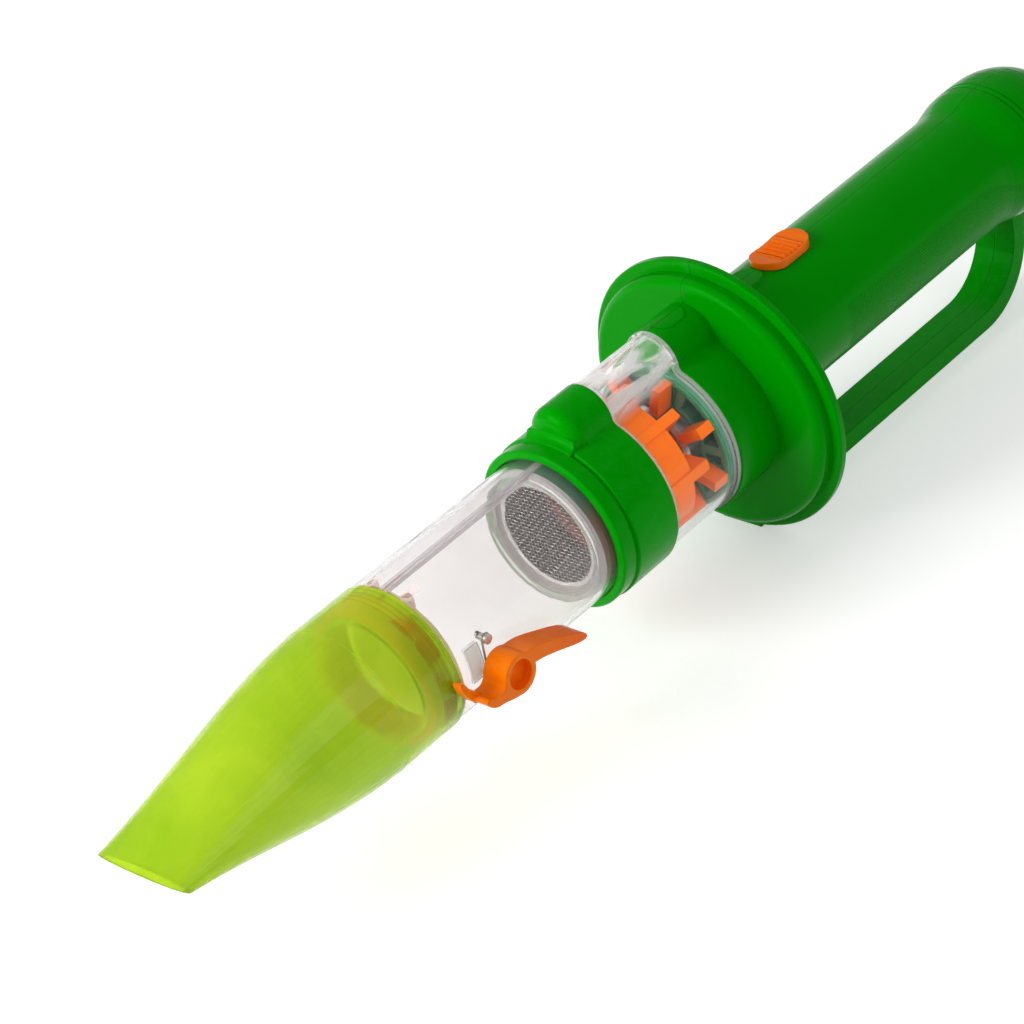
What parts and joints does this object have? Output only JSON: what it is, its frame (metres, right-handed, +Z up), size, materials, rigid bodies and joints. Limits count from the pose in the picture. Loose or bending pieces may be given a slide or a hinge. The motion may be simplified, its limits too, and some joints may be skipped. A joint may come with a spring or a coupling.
{
  "type": "hand-held insect vacuum with a clear capture tube",
  "caption": "Hand-held battery insect vacuum: slotted translucent nozzle, clear capture tube with mesh filter and latch, clear fan chamber, round guard flange and grip with a knuckle bow.",
  "frame": {"origin": "centre of the underside of the bounding box: on the plane that the flange's rim and the knuckle guard rest on, midway along the tool, in the middle of its width", "axes": "+X along the tool to the nozzle's mouth, +Y to the latch side of the capture tube, +Z up to the switch"},
  "size_m": [0.3936, 0.086, 0.086],
  "materials": {
    "lime": "glossy translucent",
    "clear": "clear, glossy",
    "orange": "glossy",
    "green": "glossy",
    "dark_green": "satin",
    "steel_mesh": "woven",
    "steel": "plain",
    "zinc": "bright plated",
    "rubber": "matte",
    "cell": "plain jacket"
  },
  "bodies": {
    "handle": {"left_shell": "green", "right_shell": "green", "shell_screws": "zinc", "front_collar": "green", "fan_chamber": "clear", "filter_frame": "clear", "filter_mesh": "steel_mesh", "filter_retainer": "dark_green", "tube_seal": "rubber", "motor_can": "steel", "motor_cap": "dark_green", "motor_mount": "dark_green", "stator_vanes": "orange", "switch_body": "dark_green", "battery_tray": "dark_green", "upper_cell": "cell", "lower_cell": "cell", "contact_plates": "zinc", "contact_springs": "zinc"},
    "tube": {"capture_tube": "clear", "coupling_ring": "orange", "latch_spring": "steel", "stop_pin": "steel"},
    "nozzle_body": {"nozzle": "lime"},
    "flap": {"trap_flap": "clear"},
    "latch": {"latch_lever": "orange"},
    "fan": {"impeller": "orange", "motor_shaft": "steel"},
    "slider": {"switch_slider": "orange"},
    "cover": {"battery_cover": "green", "cover_screw": "zinc"}
  },
  "joints": [
    {"name": "tube_pull", "type": "slide", "parent": "handle", "child": "tube", "axis": [1, 0, 0], "range_m": [0, 0.03]},
    {"name": "nozzle_pull", "type": "slide", "parent": "tube", "child": "nozzle_body", "axis": [1, 0, 0], "range_m": [0, 0.025]},
    {"name": "flap_swing", "type": "hinge", "parent": "tube", "child": "flap", "pos_m": [0.0972, 0, 0.06045], "axis": [0, 1, 0], "range_deg": [0, 45]},
    {"name": "latch_pivot", "type": "hinge", "parent": "tube", "child": "latch", "pos_m": [0.0874, 0.027, 0.0397], "axis": [0, 1, 0], "range_deg": [-14, 0], "stiffness_Nm_per_rad": 0.02, "springref_deg": 8.59},
    {"name": "fan_spin", "type": "hinge", "parent": "handle", "child": "fan", "pos_m": [0.0099, 0, 0.043], "axis": [1, 0, 0], "continuous": true},
    {"name": "switch_slide", "type": "slide", "parent": "handle", "child": "slider", "axis": [-1, 0, 0], "range_m": [0, 0.005]},
    {"name": "cover_lift", "type": "slide", "parent": "handle", "child": "cover", "axis": [0, -1, 0], "range_m": [0, 0.025]}
  ]
}
